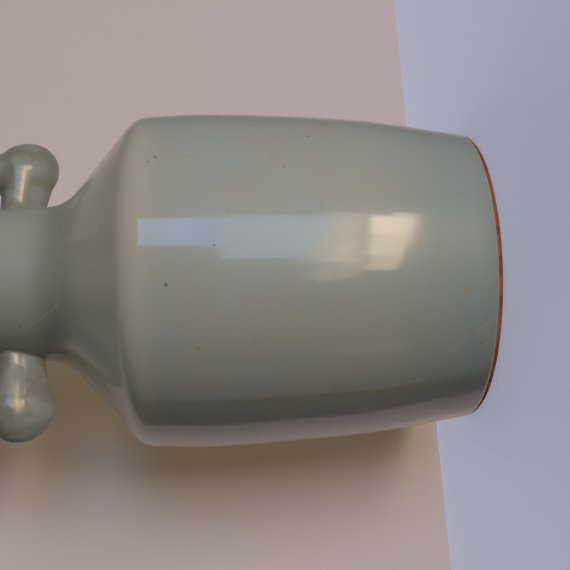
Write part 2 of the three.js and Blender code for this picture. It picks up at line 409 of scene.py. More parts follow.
class VASE_OT_foot_ring(bpy.types.Operator):
    """Makes the foot ring, glazed outside down to an uneven line over its bare edge"""

    bl_idname = "vase.foot_ring"
    bl_label = "Foot Ring"

    def execute(self, context):
        sizes = context.scene.vase_sizes
        outer = sizes.foot_radius - sizes.foot_taper / 2
        top = sizes.foot_radius + sizes.foot_taper / 2
        bare = outer - sizes.glaze_thickness
        inside = outer - sizes.foot_ring_width
        ledge = FLOOR_BOX[1].x
        recess = FLOOR_BOX[0].z
        line = sizes.bare_height
        rows = [
            (inside, 0),
            (bare - sizes.foot_chamfer, 0),
            (bare, sizes.foot_chamfer),
            (bare, line - sizes.glaze_thickness),
            (outer - sizes.glaze_thickness / 3, line),
            (outer + sizes.foot_taper / 6, line + sizes.glaze_thickness),
            (outer + sizes.foot_taper / 3, line + sizes.glaze_thickness * 4),
            (top - SEAM_STEP * sizes.foot_taper / FOOT_RING_HEIGHT, FOOT_RING_HEIGHT - SEAM_STEP),
            (top, FOOT_RING_HEIGHT),
            (ledge, FOOT_RING_HEIGHT),
            (ledge, recess),
            (inside, recess),
        ]
        mesh = turned([outline_point(*row) for row in rows], FOOT_TURN_STEPS)
        glaze_by_height(mesh, wall_dips(sizes))
        self.waver(mesh, sizes)
        for face in mesh.faces:
            middle = face.calc_center_median()
            is_outside = middle.xy.length > outer - sizes.glaze_thickness and middle.z > sizes.foot_chamfer
            is_side = face.normal.z < UP_FACING
            face.material_index = 1 if is_outside and is_side else 0
        throw_by_hand(mesh, sizes)
        materials = [biscuit_material(), glaze_material(context.scene)]
        finished_piece(mesh, "foot_ring_bare", materials, "bare_foot", "foot_ring")
        return {"FINISHED"}

    def waver(self, mesh, sizes):
        """Moves the rows at the glaze line up and down, less and less towards the joint above"""
        for vert in mesh.verts:
            on_the_side = vert.co.xy.length > sizes.foot_radius - sizes.glaze_thickness * 2
            if on_the_side and sizes.foot_chamfer < vert.co.z < FOOT_RING_HEIGHT - SEAM_STEP * 2:
                around = vert.co.xy.normalized().to_3d()
                wave = noise.noise(around * GLAZE_LINE_SCALE)
                wave += noise.noise(around * GLAZE_LINE_FINE_SCALE) * GLAZE_LINE_FINE_SHARE
                vert.co.z += wave * sizes.bare_waver


class VASE_OT_floor(bpy.types.Operator):
    """Makes the floor, which is glazed inside and under the recess of the foot"""

    bl_idname = "vase.floor"
    bl_label = "Floor"

    def execute(self, context):
        sizes = context.scene.vase_sizes
        radius = FLOOR_BOX[1].x
        low = FLOOR_BOX[0].z
        high = FLOOR_BOX[1].z - sizes.floor_cove
        edge = radius - sizes.glaze_thickness
        cove = corner(
            outline_point(edge, high + sizes.floor_cove),
            outline_point(edge, high),
            outline_point(0, high),
            sizes.floor_cove,
        )
        outline = [
            *stretch(outline_point(0, low), outline_point(radius, low), INSIDE_STEP),
            outline_point(radius, high + sizes.floor_cove),
            *cove,
            *stretch(cove[-1], outline_point(0, high), INSIDE_STEP)[1:],
        ]
        mesh = turned(outline, TURN_STEPS)
        glaze_by_height(mesh, [(high, sizes.floor_cove, 0.2)])
        finished_piece(mesh, "glazed_floor", [glaze_material(context.scene)], "celadon_glaze", "floor_disc")
        return {"FINISHED"}


# Each handle is a phoenix, made of limbs and balls that run into each other. A station holds shares
# of the reach, of the height, of the reach for half its depth, of the width for half its breadth,
# and of the width for its distance from the middle plane.
TAIL_ROOT_SHARES = [
    (-0.12, 0.195, 0.305, 0.45, 0),
    (0.09, 0.187, 0.29, 0.42, 0),
    (0.33, 0.179, 0.325, 0.46, 0),
    (0.57, 0.179, 0.377, 0.5, 0),
]
TAIL_END_SHARES = (0.587, 0.181, 0.413, 0.5, 0)
BACK_SHARES = [
    (0.57, 0.25, 0.31, 0.45, 0),
    (0.555, 0.324, 0.26, 0.44, 0),
    (0.515, 0.43, 0.23, 0.4, 0),
    (0.485, 0.535, 0.25, 0.41, 0),
    (0.464, 0.64, 0.275, 0.44, 0),
]
BREAST_SHARES = (0.464, 0.633, 0.3, 0.46, 0)
BRIDGE_SHARES = [
    (-0.12, 0.648, 0.29, 0.39, 0),
    (0.15, 0.643, 0.25, 0.36, 0),
    (0.45, 0.639, 0.26, 0.41, 0),
]
THROAT_SHARES = [
    (0.464, 0.666, 0.269, 0.41, 0),
    (0.44, 0.76, 0.235, 0.36, 0),
    (0.47, 0.84, 0.21, 0.33, 0),
    (0.53, 0.905, 0.215, 0.33, 0),
]
HEAD_SHARES = (0.55, 0.912, 0.225, 0.34, 0)
BEAK_SHARES = [
    (0.6, 0.922, 0.15, 0.2, 0),
    (0.75, 0.916, 0.1, 0.14, 0),
    (0.86, 0.89, 0.055, 0.085, 0),
    (0.9, 0.85, 0.025, 0.05, 0),
]
CREST_SHARES = [
    (0.56, 0.96, 0.17, 0.16, 0),
    (0.48, 1.02, 0.16, 0.15, 0),
    (0.34, 1.05, 0.11, 0.13, 0),
    (0.2, 1.03, 0.05, 0.07, 0),
]
COMB_SHARES = [(0.64, 0.985, 0.06, 0.08, 0), (0.55, 1.03, 0.06, 0.08, 0), (0.43, 1.055, 0.06, 0.08, 0)]
WATTLE_SHARES = [(0.7, 0.885, 0.07, 0.09, 0), (0.71, 0.84, 0.06, 0.08, 0), (0.7, 0.8, 0.03, 0.05, 0)]
EYE_SHARES = (0.6, 0.93, 0.05, 0.055, 0.31)
BROW_SHARES = [
    (0.5, 0.965, 0.03, 0.05, 0.25),
    (0.6, 0.965, 0.035, 0.06, 0.29),
    (0.7, 0.945, 0.03, 0.05, 0.24),
]

# How far the tail's ridge lies above its middle, and how sharp it is: 1 is an oval
TAIL_LEAN_SHARE = 0.25
RIDGE_POWER = 1.35

# Wing feathers: where the fan of roots and the fan of tips begin and end, out and up
WING_ROOT_SHARES = ((0.3, 0.655), (0.6, 0.69))
WING_TIP_SHARES = ((0.36, 0.43), (0.78, 0.335))
WING_FEATHERS = 5
FEATHER_HALF_WIDTH_SHARE = 0.062
FEATHER_HALF_THICKNESS_SHARE = 0.11
FEATHER_ASIDE_SHARES = (0.37, 0.39, 0.31)
FEATHER_TAPER_SHARES = (0.8, 1.1, 0.35)
COVERT_ROWS = 3
COVERTS_PER_ROW = 4
COVERT_RISE_SHARE = 0.05
COVERT_SHARES = (0.065, 0.075)

# Neck feathers: rows of scales, their reach on the neck, and how far they stand out
HACKLE_ROWS = 9
HACKLES_ROUND = 12
HACKLE_SCALLOP_SHARE = 0.55
HACKLE_SPAN_SHARES = (0.6, 0.9)
HACKLE_FADE_SHARE = 0.03

# Where the bend of a tail that was luted on higher begins and ends
TAIL_BEND_SHARES = (0.3, 0.62)

LIMB_SIDES = 32
LIMB_STEPS = 5
VOXELS_ACROSS = 46
SOFTEN_PASSES = 8
HOLLOW_PASSES = 14
SMOOTH_SHARE = 0.5


def smooth(mesh, passes):
    """Evens a mesh out, a little with each pass"""
    for _ in range(passes):
        bmesh.ops.smooth_vert(
            mesh,
            verts=mesh.verts,
            factor=SMOOTH_SHARE,
            use_axis_x=True,
            use_axis_y=True,
            use_axis_z=True,
        )


class HandleSizes(bpy.types.PropertyGroup):
    """Sizes of the phoenix handles"""

    reach: length("Reach", "How far a handle reaches out from the neck", 0.0334)
    height: length("Height", "Height that a handle's stations are shares of", 0.076)
    width: length("Width", "Width of a handle", 0.0196)
    drop: length("Drop", "How far the handle's base lies under the neck's joint", 0.0037)
    pad_margin: length("Pad margin", "How far the slip spreads round a handle's roots", 0.0025)
    pad_sink: length("Pad sink", "How deep the pad of slip lies under the neck's surface", 0.0002)
    pad_thickness: length("Pad thickness", "Thickness of the pad of slip", 0.0022)
    relief: length("Relief", "How far the moulded feathers stand out", 0.00045)
    pooling: length("Pooling", "Depth of a hollow that fills with glaze", 0.0003)
    lift: length("Lift", "How much higher the right handle's tail was luted on", 0.003)


class Phoenix:
    """One handle's mesh while it is built from limbs and balls"""

    def __init__(self, vase, form):
        self.vase = vase
        self.form = form
        self.base = NECK_JOINT_Z - form.drop
        self.mesh = bmesh.new()

    def station(self, row, side=1):
        """A station's centre, half depth and half breadth"""
        out, up, depth, breadth, aside = row
        centre = Vector(
            (
                self.vase.neck_radius + self.form.reach * out,
                self.form.width * aside * side,
                self.base + self.form.height * up,
            )
        )
        return centre, self.form.reach * depth, self.form.width * breadth

    def ridged(self, verts, centre, depth, breadth, lean):
        """Turns a tail's oval section into one with a blunt ridge, and moves the ridge up"""
        for vert in verts:
            aside = vert.co - centre
            across = aside.y / breadth
            aside.y = 0
            aside *= (aside.length / depth) ** (RIDGE_POWER - 1)
            aside.y = math.copysign(breadth * abs(across) ** RIDGE_POWER, across)
            aside.z += lean * depth * across**2
            vert.co = centre + aside

    def limb(self, rows, side=1, lean=0):
        """Oval rings square to the line through the stations, bridged, and closed at both ends"""
        stations = [self.station(row, side) for row in spline([Vector(row) for row in rows], LIMB_STEPS)]
        rings = []
        for i, (centre, depth, breadth) in enumerate(stations):
            following = stations[min(i + 1, len(stations) - 1)][0]
            along = (following - stations[max(i - 1, 0)][0]).normalized()
            across = Vector((0, 1, 0))
            outward = across.cross(along).normalized()
            turn = Matrix((outward * depth, across * breadth, along)).transposed().to_4x4()
            made = bmesh.ops.create_circle(
                self.mesh, segments=LIMB_SIDES, radius=1, matrix=Matrix.Translation(centre) @ turn
            )
            if lean:
                self.ridged(made["verts"], centre, depth, breadth, lean)
            rings.append(list(dict.fromkeys(edge for vert in made["verts"] for edge in vert.link_edges)))
        for low, high in zip(rings, rings[1:]):
            bmesh.ops.bridge_loops(self.mesh, edges=low + high)
        for end in (rings[0], rings[-1]):
            bmesh.ops.edgeloop_fill(self.mesh, edges=end)

    def ball(self, row, side=1, lean=0):
        """A ball stretched to a station's depth and breadth"""
        centre, depth, breadth = self.station(row, side)
        made = bmesh.ops.create_uvsphere(
            self.mesh,
            u_segments=LIMB_SIDES,
            v_segments=LIMB_SIDES // 2,
            radius=1,
            matrix=Matrix.Translation(centre) @ Matrix.Diagonal((depth, breadth, depth, 1)),
        )
        if lean:
            self.ridged(made["verts"], centre, depth, breadth, lean)

    def wing(self, side):
        """A fan of long feathers under rows of short ones"""
        (root_start, root_end), (tip_start, tip_end) = WING_ROOT_SHARES, WING_TIP_SHARES
        for i in range(WING_FEATHERS):
            way = i / (WING_FEATHERS - 1)
            root = Vector(root_start).lerp(Vector(root_end), way)
            tip = Vector(tip_start).lerp(Vector(tip_end), way)
            rows = []
            for k, (aside, taper) in enumerate(zip(FEATHER_ASIDE_SHARES, FEATHER_TAPER_SHARES)):
                place = root.lerp(tip, k / (len(FEATHER_ASIDE_SHARES) - 1))
                size = (FEATHER_HALF_WIDTH_SHARE * taper, FEATHER_HALF_THICKNESS_SHARE * taper)
                rows.append((place.x, place.y, *size, aside))
            self.limb(rows, side)
        for row in range(COVERT_ROWS):
            for i in range(COVERTS_PER_ROW):
                way = (i + row % 2 / 2) / (COVERTS_PER_ROW - 0.5)
                place = Vector(root_start).lerp(Vector(root_end), way)
                up = place.y - COVERT_RISE_SHARE * (row - 1)
                self.ball((place.x, up, *COVERT_SHARES, FEATHER_ASIDE_SHARES[0]), side)

    def pad(self, outer, row):
        """A pad of slip under a root, just inside the neck's surface, which softening draws up to it"""
        centre, depth, breadth = self.station(row)
        margin = self.form.pad_margin
        half_turn = math.asin((breadth + margin) / self.vase.neck_radius)
        face = between(outer, centre.z - depth - margin, centre.z + depth + margin)
        sink, thickness = self.form.pad_sink, self.form.pad_thickness
        outline = [point - Vector((sink, 0, 0)) for point in face]
        outline += [point - Vector((sink + thickness, 0, 0)) for point in reversed(face)]
        start = Matrix.Rotation(-half_turn, 3, "Z")
        verts = [self.mesh.verts.new(start @ point) for point in outline]
        cut = self.mesh.faces.new(verts)
        spun(self.mesh, [*verts, *cut.edges, cut], half_turn * 2, LIMB_SIDES)

    def fuse(self):
        """Runs the limbs into one skin"""
        data = bpy.data.meshes.new("phoenix_limbs")
        self.mesh.to_mesh(data)
        self.mesh.free()
        limbs = bpy.data.objects.new("phoenix_limbs", data)
        bpy.context.scene.collection.objects.link(limbs)
        remesh = limbs.modifiers.new("Skin", "REMESH")
        remesh.mode = "VOXEL"
        remesh.voxel_size = self.form.width / VOXELS_ACROSS
        skin = limbs.evaluated_get(bpy.context.evaluated_depsgraph_get()).to_mesh()
        self.mesh = bmesh.new()
        self.mesh.from_mesh(skin)
        bpy.data.objects.remove(limbs)
        smooth(self.mesh, SOFTEN_PASSES)

    def hackle(self, point):
        """How far the neck's scales stand out at a point, as a share"""
        up = (point.z - self.base) / self.form.height
        low, high = HACKLE_SPAN_SHARES
        if not low < up < high:
            return 0
        out = (point.x - self.vase.neck_radius) / self.form.reach - THROAT_SHARES[1][0]
        turn = math.atan2(point.y / self.form.width, out)
        climb = (up - low) / (high - low) * HACKLE_ROWS
        for row in (math.floor(climb) + 1, math.floor(climb), math.floor(climb) - 1):
            edge, above = (
                k - HACKLE_SCALLOP_SHARE * abs(math.cos((HACKLES_ROUND * turn + k * math.pi) / 2))
                for k in (row, row + 1)
            )
            if edge <= climb < above:
                fade = min((up - low), (high - up), HACKLE_FADE_SHARE) / HACKLE_FADE_SHARE
                facing = min(max(out / self.form.reach * self.form.height + 1, 0), 1)
                return (1 - (climb - edge) / (above - edge)) * fade * facing
        return 0

    def carve(self):
        """Raises the neck's scales"""
        self.mesh.normal_update()
        shifts = [vert.normal * self.hackle(vert.co) * self.form.relief for vert in self.mesh.verts]
        for vert, shift in zip(self.mesh.verts, shifts):
            vert.co += shift

    def lift_tail(self):
        """Moves the tail up, less and less towards the breast"""
        low, high = (self.base + self.form.height * up for up in TAIL_BEND_SHARES)
        for vert in self.mesh.verts:
            way = min(max((high - vert.co.z) / (high - low), 0), 1)
            vert.co.z += self.form.lift * way * way * (3 - way * 2)

    def pool(self):
        """Stores how thick the glaze lies: thin on ridges, pooled in hollows"""
        self.mesh.normal_update()
        rounded = self.mesh.copy()
        smooth(rounded, HOLLOW_PASSES)
        rounded.verts.ensure_lookup_table()
        depth = self.mesh.verts.layers.float.new(GLAZE_DEPTH)
        for vert in self.mesh.verts:
            hollow = (rounded.verts[vert.index].co - vert.co).dot(vert.normal)
            vert[depth] = min(max(EVEN_DEPTH + hollow / self.form.pooling / 2, 0), 1)
        rounded.free()


class VASE_OT_phoenix_handles(bpy.types.Operator):
    """Makes the two phoenix handles, luted to the neck"""

    bl_idname = "vase.phoenix_handles"
    bl_label = "Phoenix Handles"

    def execute(self, context):
        vase = context.scene.vase_sizes
        bird = Phoenix(vase, context.scene.handle_sizes)
        bird.limb(TAIL_ROOT_SHARES, lean=TAIL_LEAN_SHARE)
        bird.ball(TAIL_END_SHARES, lean=TAIL_LEAN_SHARE)
        for rows in (BACK_SHARES, BRIDGE_SHARES, THROAT_SHARES):
            bird.limb(rows)
        for rows in (BEAK_SHARES, CREST_SHARES, WATTLE_SHARES):
            bird.limb(rows)
        for row in (BREAST_SHARES, HEAD_SHARES, *COMB_SHARES):
            bird.ball(row)
        for side in (-1, 1):
            bird.wing(side)
            bird.ball(EYE_SHARES, side)
            bird.limb(BROW_SHARES, side)
        outer = outer_outline(vase)
        bird.pad(outer, TAIL_ROOT_SHARES[1])
        bird.pad(outer, BRIDGE_SHARES[1])
        bird.fuse()
        bird.carve()
        smooth(bird.mesh, 1)
        bird.pool()
        glaze = handle_glaze_material(context.scene)
        left = bird.mesh.copy()
        bmesh.ops.rotate(left, verts=left.verts, cent=(0, 0, 0), matrix=Matrix.Rotation(math.pi, 3, "Z"))
        bird.lift_tail()
        finished_piece(bird.mesh, "phoenix_handle_right", [glaze], "celadon_glaze", "handle_right")
        finished_piece(left, "phoenix_handle_left", [glaze], "celadon_glaze", "handle_left")
        return {"FINISHED"}


def paint(code):
    """A colour written as it shows on a screen, in Blender's linear values"""
    shown = [int(code[i : i + 2], 16) / 255 for i in (0, 2, 4)]
    return tuple(Color(shown).from_srgb_to_scene_linear())


class GlazeFinish(bpy.types.PropertyGroup):
    """Colours of the glaze and of the bare clay"""

    celadon: colour("Celadon", "The glaze on even walls", paint("97A499"))
    warm: colour("Warm patches", "Glaze that fired warmer", paint("9CA292"))
    shoulder: colour("Shoulder", "Warmer glaze on the shoulder", paint("B0AE93"))
    neck: colour("Neck", "Darker glaze on the neck", paint("91998B"))
    thin: colour("Thin", "Glaze drawn thin over an edge", paint("A8AB96"))
    pooled: colour("Pooled", "Glaze pooled in a hollow", paint("747A69"))
    # Foot tint: partly a thicker, bluer glaze, partly painted shade that darkens and cools the glaze towards
    # the foot
    foot_tint: colour("Foot tint", "Thicker, bluer glaze over the foot", paint("869690"))
    handle: colour("Handle", "Darker glaze on the handles", paint("868D81"))
    olive: colour("Olive", "Olive patches on the handles", paint("777B69"))
    stain: colour("Stain", "Ochre stains in the glaze", paint("8E8058"))
    speck: colour("Speck", "Iron specks", paint("5F4630"))
    crack: colour("Crack", "Hairline cracks", paint("B4AFA2"))
    biscuit: colour("Biscuit", "Bare clay, burnt orange-brown", paint("9A5F3E"))
    scorched: colour("Scorched", "Bare clay next to the glaze", paint("653724"))


def node(tree, kind, inputs=None, **settings):
    """Adds a node to a tree; an input is linked if it is given a socket, and set if it is a value"""
    made = tree.nodes.new(kind)
    for name, value in settings.items():
        setattr(made, name, value)
    for name, value in (inputs or {}).items():
        if isinstance(value, bpy.types.NodeSocket):
            tree.links.new(value, made.inputs[name])
        else:
            made.inputs[name].default_value = value
    return made


def math_node(tree, operation, *values):
    """A Math node's result"""
    return node(tree, "ShaderNodeMath", dict(enumerate(values)), operation=operation).outputs[0]


def product(tree, *values):
    """Two values multiplied"""
    return math_node(tree, "MULTIPLY", *values)


def ramp(tree, value, low, high):
    """A value eased from zero at low to one at high"""
    span = {"Value": value, "From Min": low, "From Max": high}
    return node(tree, "ShaderNodeMapRange", span, interpolation_type="SMOOTHSTEP").outputs["Result"]


# Places of the two colours and of the result among the sockets of a Mix node
MIX_FIRST = 6
MIX_SECOND = 7
MIX_RESULT = 2


def mixed(tree, factor, first, second):
    """Two colours mixed"""
    inputs = {0: factor}
    for place, tone in ((MIX_FIRST, first), (MIX_SECOND, second)):
        inputs[place] = tone if isinstance(tone, bpy.types.NodeSocket) else (*tone, 1)
    return node(tree, "ShaderNodeMix", inputs, data_type="RGBA").outputs[MIX_RESULT]


def new_group(name, inputs, outputs):
    """An empty shader node group with its sockets, each given as a name and a kind"""
    tree = bpy.data.node_groups.new(name, "ShaderNodeTree")
    for direction, sockets in (("INPUT", inputs), ("OUTPUT", outputs)):
        for socket, kind in sockets:
            tree.interface.new_socket(socket, in_out=direction, socket_type=f"NodeSocket{kind}")
    return tree, tree.nodes.new("NodeGroupInput"), tree.nodes.new("NodeGroupOutput")


# Each speck's radius: its least share of the size asked for, and how much the chance adds
SPECK_LEAST_SHARE = 0.5
SPECK_SPREAD_SHARE = 0.7
SPECK_EDGE_SHARES = (0.5, 1.2)


def speck_group():
    """Round specks scattered at random: some of the cells of a pattern hold one"""
    tree, given, made = new_group(
        "Scattered specks",
        [("Vector", "Vector"), ("Spacing", "Float"), ("Size", "Float"), ("Share", "Float")],
        [("Mask", "Float")],
    )
    scale = math_node(tree, "DIVIDE", 1.0, given.outputs["Spacing"])
    cells = node(tree, "ShaderNodeTexVoronoi", {"Vector": given.outputs["Vector"], "Scale": scale})
    chance = node(tree, "ShaderNodeSeparateColor", {"Color": cells.outputs["Color"]})
    holds = math_node(tree, "LESS_THAN", chance.outputs["Red"], given.outputs["Share"])
    uneven = math_node(tree, "MULTIPLY_ADD", chance.outputs["Green"], SPECK_SPREAD_SHARE, SPECK_LEAST_SHARE)
    radius = product(tree, product(tree, given.outputs["Size"], scale), uneven)
    reach = math_node(tree, "DIVIDE", cells.outputs["Distance"], radius)
    inside = math_node(tree, "SUBTRACT", 1.0, ramp(tree, reach, *SPECK_EDGE_SHARES))
    tree.links.new(product(tree, inside, holds), made.inputs["Mask"])
    return tree


# The mottle: the noise's detail and roughness, where its patches begin and end, and its fine grain
MOTTLE_DETAIL = 4.0
MOTTLE_ROUGHNESS = 0.55
MOTTLE_PATCH_SHARES = (0.35, 0.65)
GRAIN_TIMES_FINER = 16.0
GRAIN_DETAIL = 3.0


def noise_node(tree, place, scale, **inputs):
    """A noise texture's value"""
    inputs = {"Vector": place, "Scale": scale} | {name.capitalize(): value for name, value in inputs.items()}
    return node(tree, "ShaderNodeTexNoise", inputs).outputs["Fac"]


def mottle_group():
    """Broad, soft patches where the glaze fired differently"""
    tree, given, made = new_group(
        "Glaze mottle", [("Vector", "Vector"), ("Scale", "Float")], [("Patch", "Float"), ("Grain", "Float")]
    )
    place, scale = given.outputs["Vector"], given.outputs["Scale"]
    broad = noise_node(tree, place, scale, detail=MOTTLE_DETAIL, roughness=MOTTLE_ROUGHNESS)
    fine = noise_node(tree, place, product(tree, scale, GRAIN_TIMES_FINER), detail=GRAIN_DETAIL)
    tree.links.new(ramp(tree, broad, *MOTTLE_PATCH_SHARES), made.inputs["Patch"])
    tree.links.new(fine, made.inputs["Grain"])
    return tree


# Hairline cracks: radius of the wall, then heights over the foot with the angles round from the front
BODY_CRACK = (
    BODY_BOX[1].x,
    [
        (0.004, -36.8),
        (0.0111, -40.2),
        (0.0217, -48.3),
        (0.0261, -52.9),
        (0.0285, -57.3),
        (0.0363, -56.9),
        (0.0439, -58.1),
        (0.0664, -58.8),
        (0.0776, -59.2),
        (0.085, -61.9),
        (0.093, -66.6),
    ],
)
NECK_CRACK = (NECK_BOX[1].x, [(0.1601, -32.1), (0.1666, -42.7), (0.1755, -53.5), (0.1815, -59.7)])
CRACK_HALF_WIDTH = 0.00028
CRACK_FADE_SHARES = (1.6, 0.5)
CRACK_WANDER = 0.0005
CRACK_WANDER_SCALE = 160.0


def crack_path(tree, climb, turns):
    """The angle of a crack at each height, as a curve"""
    low, high = turns[0][0], turns[-1][0]
    way = node(tree, "ShaderNodeMapRange", {"Value": climb, "From Min": low, "From Max": high})
    path = node(tree, "ShaderNodeFloatCurve", {"Value": way.outputs["Result"]})
    curve = path.mapping.curves[0]
    knots = [((height - low) / (high - low), 1 + math.radians(angle) / math.pi) for height, angle in turns]
    curve.points[0].location = knots[0]
    curve.points[-1].location = knots[-1]
    for knot in knots[1:-1]:
        curve.points.new(*knot)
    for point in curve.points:
        point.handle_type = "VECTOR"
    path.mapping.update()
    return math_node(tree, "MULTIPLY_ADD", path.outputs["Value"], math.pi, -math.pi)


def crack_group():
    """Hairline cracks that climb the body and the neck"""
    tree, given, made = new_group("Hairline cracks", [("Vector", "Vector")], [("Mask", "Float")])
    place = node(tree, "ShaderNodeSeparateXYZ", {"Vector": given.outputs["Vector"]})
    front = math_node(tree, "MULTIPLY", place.outputs["Y"], -1.0)
    turn = math_node(tree, "ARCTAN2", place.outputs["X"], front)
    climb = place.outputs["Z"]
    wander = noise_node(tree, given.outputs["Vector"], CRACK_WANDER_SCALE)
    stray = math_node(tree, "MULTIPLY_ADD", wander, CRACK_WANDER * 2, -CRACK_WANDER)
    fade = [CRACK_HALF_WIDTH * edge for edge in CRACK_FADE_SHARES]
    masks = []
    for radius, turns in (BODY_CRACK, NECK_CRACK):
        target = crack_path(tree, climb, turns)
        aside = math_node(tree, "MULTIPLY_ADD", math_node(tree, "SUBTRACT", turn, target), radius, stray)
        line = ramp(tree, math_node(tree, "ABSOLUTE", aside), *fade)
        low, high = turns[0][0], turns[-1][0]
        inside = math_node(tree, "COMPARE", climb, (low + high) / 2, (high - low) / 2)
        masks.append(product(tree, line, inside))
    tree.links.new(math_node(tree, "MAXIMUM", *masks), made.inputs["Mask"])
    return tree


# Single spots on the front of the body: height over the foot, angle round from the front, and radius
IRON_SPOTS = [
    (0.1221, 21, 0.0005),
    (0.1245, 19, 0.0004),
    (0.0876, 40, 0.0005),
    (0.0816, 39.1, 0.0004),
    (0.0672, 32.5, 0.0005),
    (0.118, -21.2, 0.0006),
]
OCHRE_SPOTS = [
    (0.108, -40.4, 0.0009),
    (0.0134, -25.2, 0.0015),
    (0.0113, -40.1, 0.0012),
    (0.0968, 0.1, 0.001),
]


SPOT_FADE_SHARES = (1.5, 0.5)


def spots(tree, place, rows, sizes):
    """A mask of single spots"""
    outline = body_side(sizes)
    mask = 0.0
    for height, angle, radius in rows:
        middle = facing(math.radians(angle), 0) * at_height(outline, height).x + Vector((0, 0, height))
        apart = node(tree, "ShaderNodeVectorMath", {0: place, 1: middle}, operation="DISTANCE")
        fade = [radius * edge for edge in SPOT_FADE_SHARES]
        mask = math_node(tree, "MAXIMUM", ramp(tree, apart.outputs["Value"], *fade), mask)
    return mask


def group_node(tree, maker, inputs):
    """Places a node group, which is built once"""
    name = maker.__name__
    shared = bpy.data.node_groups.get(name)
    if shared is None:
        shared = maker()
        shared.name = name
    return node(tree, "ShaderNodeGroup", inputs, node_tree=shared)


def new_material(name):
    """A material with only a Principled BSDF and its output"""
    material = bpy.data.materials.new(name)
    material.use_nodes = True
    tree = material.node_tree
    tree.nodes.clear()
    surface = tree.nodes.new("ShaderNodeBsdfPrincipled")
    output = tree.nodes.new("ShaderNodeOutputMaterial")
    tree.links.new(surface.outputs["BSDF"], output.inputs["Surface"])
    return material, tree, surface


def overlaid(tree, tone, mask, strength, colour):
    """A tone under a colour, where a mask says so and as strongly as given"""
    return mixed(tree, product(tree, mask, strength), tone, colour)


# Scattered stains and iron specks: how far apart, how large, and the share of places that hold one
STAINS = {"Spacing": 0.011, "Size": 0.0022, "Share": 0.3}
SPECKS = {"Spacing": 0.006, "Size": 0.00042, "Share": 0.12}

# How strongly each mark shows
SPECK_SHARE = 0.8
OCHRE_SHARE = 0.4
CRACK_SHARE = 0.3
WALL_STAIN_SHARE = 0.15
HANDLE_STAIN_SHARE = 0.25


def aged(tree, place, tone, stain_strength, finish):
    """A glaze's tone, thin or pooled as its depth says, with scattered stains and iron specks"""
    depth = node(tree, "ShaderNodeAttribute", attribute_name=GLAZE_DEPTH).outputs["Fac"]
    stains = group_node(tree, speck_group, {"Vector": place, **STAINS})
    specks = group_node(tree, speck_group, {"Vector": place, **SPECKS})
    tone = mixed(tree, ramp(tree, depth, EVEN_DEPTH, 0.0), tone, finish.thin)
    tone = mixed(tree, ramp(tree, depth, EVEN_DEPTH, 1.0), tone, finish.pooled)
    tone = overlaid(tree, tone, stains.outputs["Mask"], stain_strength, finish.stain)
    return overlaid(tree, tone, specks.outputs["Mask"], SPECK_SHARE, finish.speck)


GLAZE_ROUGHNESS = 0.3
GRAIN_ROUGHNESS = 0.12
GLAZE_SPECULAR_LEVEL = 0.3
GLASS_IOR = 1.5
GLAZE_BUMP_SHARE = 0.25
GLAZE_BUMP = 0.0001
CRACK_BUMP_SHARE = 0.5
WALL_GLOSS_ROUGHNESS = 0.09
HANDLE_GLOSS_ROUGHNESS = 0.14


def set_values(surface, **values):
    """Sets a Principled BSDF's inputs, named with underscores for spaces"""
    for name, value in values.items():
        surface.inputs[name.replace("_", " ")].default_value = value


def bumped(tree, surface, height, strength, distance):
    """Gives a surface a fine relief"""
    bump = node(tree, "ShaderNodeBump", {"Height": height, "Strength": strength, "Distance": distance})
    tree.links.new(bump.outputs["Normal"], surface.inputs["Normal"])


def glassy(tree, surface, grain, relief, gloss_roughness):
    """A glassy coat over a duller glaze, with a faintly uneven skin"""
    roughness = math_node(tree, "MULTIPLY_ADD", grain, GRAIN_ROUGHNESS, GLAZE_ROUGHNESS)
    tree.links.new(roughness, surface.inputs["Roughness"])
    set_values(surface, Specular_IOR_Level=GLAZE_SPECULAR_LEVEL, Coat_Weight=1, Coat_IOR=GLASS_IOR)
    set_values(surface, Coat_Roughness=gloss_roughness)
    bumped(tree, surface, relief, GLAZE_BUMP_SHARE, GLAZE_BUMP)


# Heights over which the walls' glaze takes on another tone, and the shoulder's strength. Towards the foot the
# tone is partly a thicker, bluer glaze and partly painted shade, darker and cooler
FOOT_TINT_AND_SHADE_SPAN = (0.055, 0.004)
SHOULDER_TINT_SPAN = (0.118, 0.137)
NECK_TINT_SPAN = (0.156, 0.168)
SHOULDER_TINT_SHARE = 0.85
WALL_MOTTLE_SCALE = 34.0
HANDLE_MOTTLE_SCALE = 130.0


